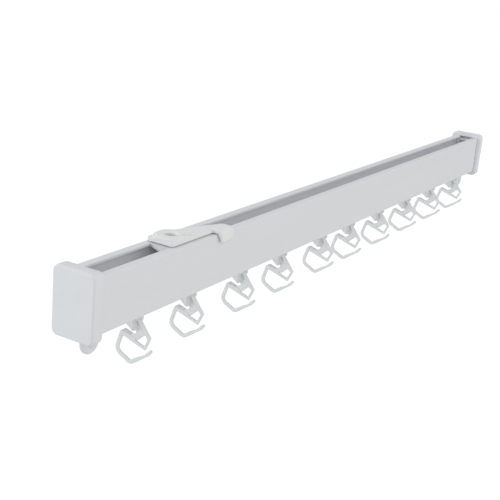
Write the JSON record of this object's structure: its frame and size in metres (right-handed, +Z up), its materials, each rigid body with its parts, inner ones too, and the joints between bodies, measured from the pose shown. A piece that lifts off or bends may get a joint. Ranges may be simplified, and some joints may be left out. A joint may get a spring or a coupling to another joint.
{
  "type": "curtain track",
  "caption": "White ceiling curtain track: H-section rail with end caps and end stops, sliding hooked gliders and a quarter-turn ceiling clip",
  "frame": {"origin": "Where the clip's screw axis meets the ceiling, at the top of the clip's disc", "axes": "+X runs along the rail towards the far end, -Y is the front face that the room sees, +Z points up at the ceiling"},
  "size_m": [0.355, 0.0176, 0.0443],
  "materials": {
    "rail_coat": "satin white powder coat",
    "cap": "fine satin white moulding",
    "stop": "satin white moulding",
    "clip": "satin warm white moulding",
    "glider": "smooth half-gloss white moulding"
  },
  "bodies": {
    "rail": {"rail": "rail_coat", "end_cap_near": "cap", "end_cap_far": "cap", "end_stop_near": "stop", "end_stop_far": "stop", "clip_key": "clip"},
    "clip_lever": {"clip_lever": "clip"},
    "glider_01": {"glider_01": "glider"},
    "glider_02": {"glider_02": "glider"},
    "glider_03": {"glider_03": "glider"},
    "glider_04": {"glider_04": "glider"},
    "glider_05": {"glider_05": "glider"},
    "glider_06": {"glider_06": "glider"},
    "glider_07": {"glider_07": "glider"},
    "glider_08": {"glider_08": "glider"},
    "glider_09": {"glider_09": "glider"},
    "glider_10": {"glider_10": "glider"}
  },
  "joints": [
    {"name": "glider_01_slide", "type": "slide", "parent": "rail", "child": "glider_01", "axis": [1, 0, 0], "range_m": [-0.01529, 0.02396]},
    {"name": "glider_02_slide", "type": "slide", "parent": "rail", "child": "glider_02", "axis": [1, 0, 0], "range_m": [-0.02396, 0.02757]},
    {"name": "glider_03_slide", "type": "slide", "parent": "rail", "child": "glider_03", "axis": [1, 0, 0], "range_m": [-0.02757, 0.02331]},
    {"name": "glider_04_slide", "type": "slide", "parent": "rail", "child": "glider_04", "axis": [1, 0, 0], "range_m": [-0.02331, 0.02856]},
    {"name": "glider_05_slide", "type": "slide", "parent": "rail", "child": "glider_05", "axis": [1, 0, 0], "range_m": [-0.02856, 0.02035]},
    {"name": "glider_06_slide", "type": "slide", "parent": "rail", "child": "glider_06", "axis": [1, 0, 0], "range_m": [-0.02035, 0.02495]},
    {"name": "glider_07_slide", "type": "slide", "parent": "rail", "child": "glider_07", "axis": [1, 0, 0], "range_m": [-0.02495, 0.02593]},
    {"name": "glider_08_slide", "type": "slide", "parent": "rail", "child": "glider_08", "axis": [1, 0, 0], "range_m": [-0.02593, 0.0256]},
    {"name": "glider_09_slide", "type": "slide", "parent": "rail", "child": "glider_09", "axis": [1, 0, 0], "range_m": [-0.0256, 0.02629]},
    {"name": "glider_10_slide", "type": "slide", "parent": "rail", "child": "glider_10", "axis": [1, 0, 0], "range_m": [-0.02629, 0.00308]},
    {"name": "clip_turn", "type": "hinge", "parent": "rail", "child": "clip_lever", "pos_m": [0, 0, 0], "axis": [0, 0, -1], "range_deg": [0, 90]}
  ]
}
